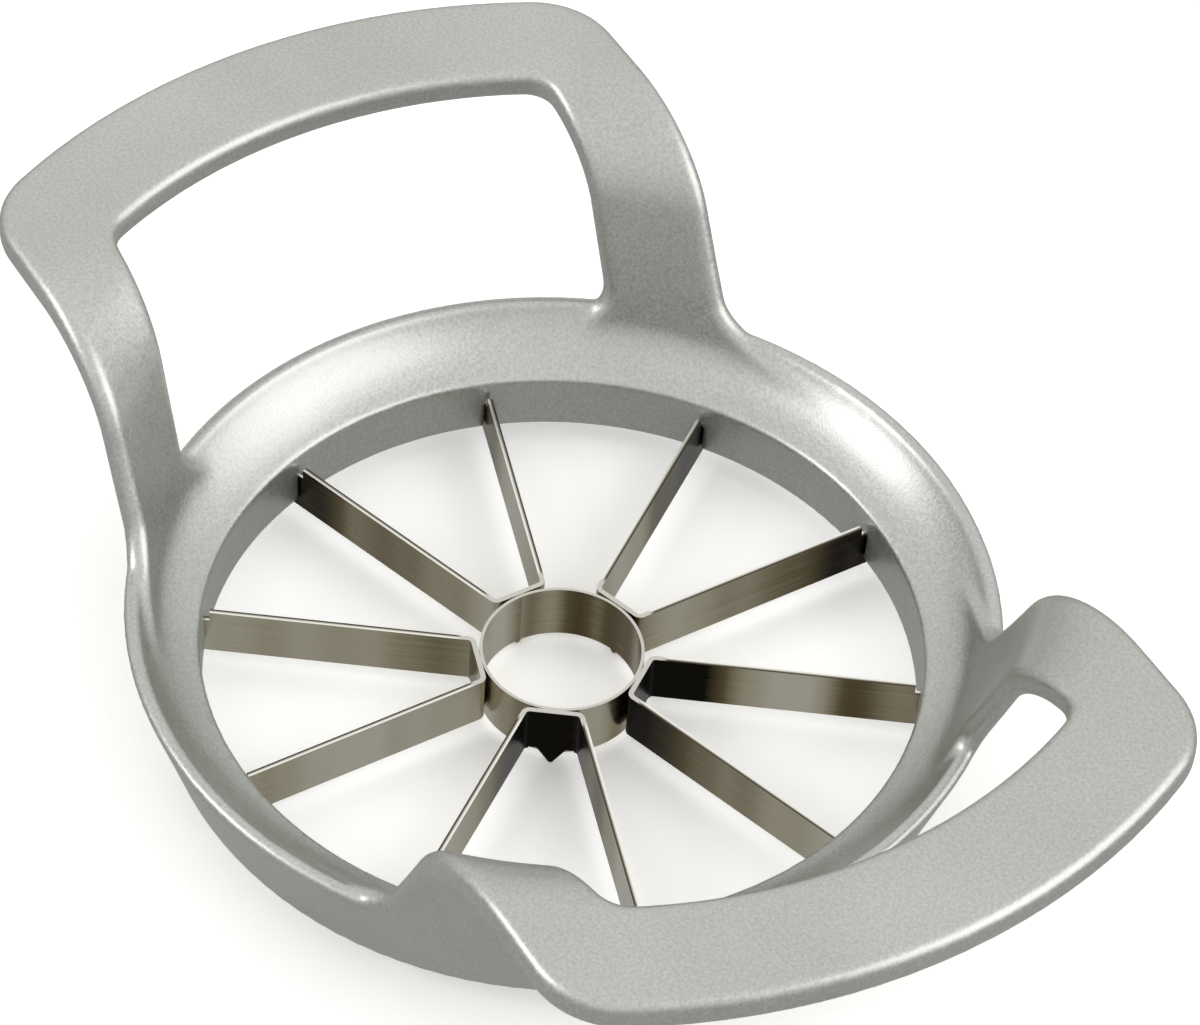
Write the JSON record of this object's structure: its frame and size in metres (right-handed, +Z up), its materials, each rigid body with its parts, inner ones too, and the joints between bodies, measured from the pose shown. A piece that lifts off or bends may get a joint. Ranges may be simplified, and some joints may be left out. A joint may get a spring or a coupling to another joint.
{
  "type": "apple slicer wedger press",
  "caption": "Press-down apple slicer and corer: a cast ring with a loop handle on each side, radial steel blades and a central core ring.",
  "frame": {"origin": "on the ring's axis, at the level of the blunt points under the blade bridges, which the tool rests on", "axes": "+Z up along the ring's axis, away from the cutting edges; +X from the axis to the middle of one loop handle; +Y across the handles"},
  "size_m": [0.1672, 0.1086, 0.0433],
  "materials": {
    "coated_cast_aluminium": "die cast, coated in a fine warm silver metallic, satin",
    "stainless_blade_steel": "cold rolled stainless sheet, ground bevels"
  },
  "bodies": {
    "root": {"cast_frame": "coated_cast_aluminium", "blade_strip_1": "stainless_blade_steel", "blade_strip_2": "stainless_blade_steel", "blade_strip_3": "stainless_blade_steel", "blade_strip_4": "stainless_blade_steel", "blade_strip_5": "stainless_blade_steel", "core_ring": "stainless_blade_steel"}
  },
  "joints": []
}
